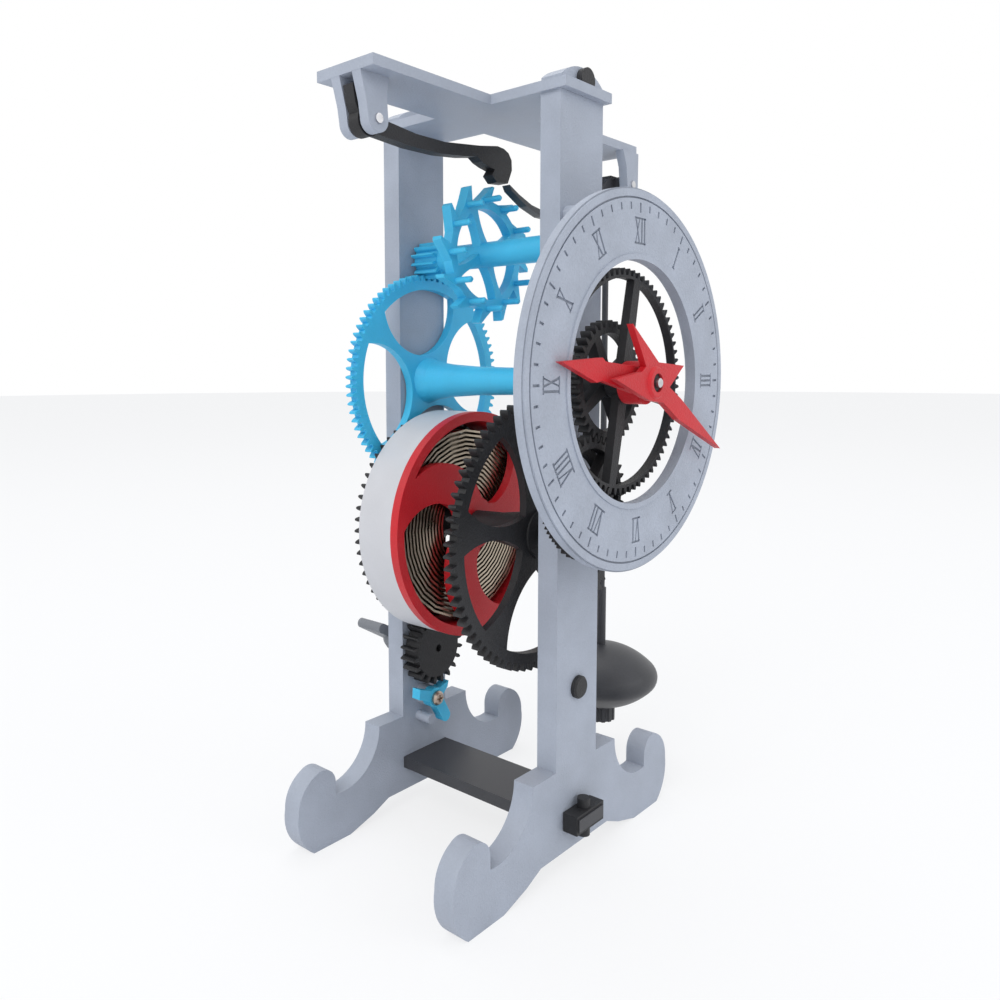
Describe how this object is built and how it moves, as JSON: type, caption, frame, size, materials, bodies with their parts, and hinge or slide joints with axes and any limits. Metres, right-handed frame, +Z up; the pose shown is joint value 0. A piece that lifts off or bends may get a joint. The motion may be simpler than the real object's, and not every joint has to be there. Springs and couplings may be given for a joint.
{
  "type": "pendulum clock model",
  "caption": "Printed skeleton pendulum clock with a spring barrel, gear train, escape wheel, detent, dial with hands and a bob on a side pendulum.",
  "frame": {"origin": "middle of the bounding box's underside, on the floor between the feet", "axes": "+Z up, -Y towards the viewer of the dial, +X to that viewer's right, where the pendulum hangs"},
  "size_m": [0.173, 0.1306, 0.2747],
  "materials": {
    "grey_plastic": "printed, fine texture",
    "black_plastic": "printed, fine texture",
    "blue_plastic": "printed, satin",
    "red_plastic": "printed, satin",
    "pale_plastic": "printed, satin",
    "steel": "satin"
  },
  "bodies": {
    "frame": {"front_plate": "grey_plastic", "back_plate": "grey_plastic", "top_plate": "grey_plastic", "cross_bar": "black_plastic", "lock_blocks": "black_plastic", "lock_pins": "black_plastic", "top_pegs": "black_plastic", "front_peg": "black_plastic", "dial": "grey_plastic", "standoffs": "grey_plastic", "hands_axle": "steel", "barrel_axle": "steel", "escape_axle": "steel", "inter_stud": "steel", "detent_pin": "steel", "pendulum_pin": "steel", "click_screw": "steel"},
    "great": {"great_wheel": "black_plastic"},
    "second": {"second_wheel": "blue_plastic"},
    "escape": {"escape_wheel": "blue_plastic"},
    "intermediate": {"inter_wheel": "black_plastic"},
    "minute": {"minute_wheel": "black_plastic", "minute_hand": "red_plastic"},
    "hour": {"hour_wheel": "black_plastic", "hour_pipe": "black_plastic", "hour_hand": "red_plastic"},
    "barrel": {"barrel_gear": "black_plastic", "drum_band": "pale_plastic", "barrel_cover": "red_plastic", "mainspring": "steel"},
    "winding": {"winding_gear": "black_plastic", "winding_key": "black_plastic"},
    "click": {"click": "blue_plastic"},
    "detent": {"detent": "black_plastic"},
    "pendulum": {"pendulum_head": "black_plastic", "rod": "black_plastic", "sleeve": "black_plastic", "bob": "black_plastic", "rating_nut": "black_plastic"}
  },
  "joints": [
    {"name": "great_spin", "type": "hinge", "parent": "frame", "child": "great", "pos_m": [-0.01805, -0.0347, 0.117], "axis": [0, 1, 0], "continuous": true},
    {"name": "second_spin", "type": "hinge", "parent": "frame", "child": "second", "pos_m": [-0.01805, -0.0347, 0.1712], "axis": [0, 1, 0], "continuous": true},
    {"name": "escape_spin", "type": "hinge", "parent": "frame", "child": "escape", "pos_m": [-0.01805, -0.0347, 0.2174], "axis": [0, 1, 0], "continuous": true},
    {"name": "intermediate_spin", "type": "hinge", "parent": "frame", "child": "intermediate", "pos_m": [-0.02855, -0.0347, 0.13364], "axis": [0, 1, 0], "continuous": true},
    {"name": "minute_spin", "type": "hinge", "parent": "frame", "child": "minute", "pos_m": [-0.01805, -0.0347, 0.1712], "axis": [0, 1, 0], "continuous": true},
    {"name": "hour_spin", "type": "hinge", "parent": "frame", "child": "hour", "pos_m": [-0.01805, -0.0347, 0.1712], "axis": [0, 1, 0], "continuous": true},
    {"name": "barrel_spin", "type": "hinge", "parent": "frame", "child": "barrel", "pos_m": [-0.01805, -0.0347, 0.117], "axis": [0, 1, 0], "continuous": true},
    {"name": "winding_spin", "type": "hinge", "parent": "frame", "child": "winding", "pos_m": [-0.01805, -0.0347, 0.064], "axis": [0, 1, 0], "continuous": true},
    {"name": "click_lift", "type": "hinge", "parent": "frame", "child": "click", "pos_m": [-0.01955, 0.0333, 0.044], "axis": [0, 1, 0], "range_deg": [0, 10]},
    {"name": "detent_lift", "type": "hinge", "parent": "frame", "child": "detent", "pos_m": [-0.07905, 0.0056, 0.2525], "axis": [0, 1, 0], "range_deg": [-5, 0]},
    {"name": "pendulum_swing", "type": "hinge", "parent": "frame", "child": "pendulum", "pos_m": [0.06145, 0.0053, 0.2525], "axis": [0, 1, 0], "range_deg": [-2, 2]}
  ],
  "couplings": [
    {"joint": "second_spin", "follows": "great_spin", "ratio": -7.5},
    {"joint": "escape_spin", "follows": "great_spin", "ratio": 48.75},
    {"joint": "intermediate_spin", "follows": "great_spin", "ratio": -0.15094},
    {"joint": "minute_spin", "follows": "great_spin", "ratio": 0.15094},
    {"joint": "hour_spin", "follows": "great_spin", "ratio": 0.012579},
    {"joint": "winding_spin", "follows": "barrel_spin", "ratio": -3}
  ]
}
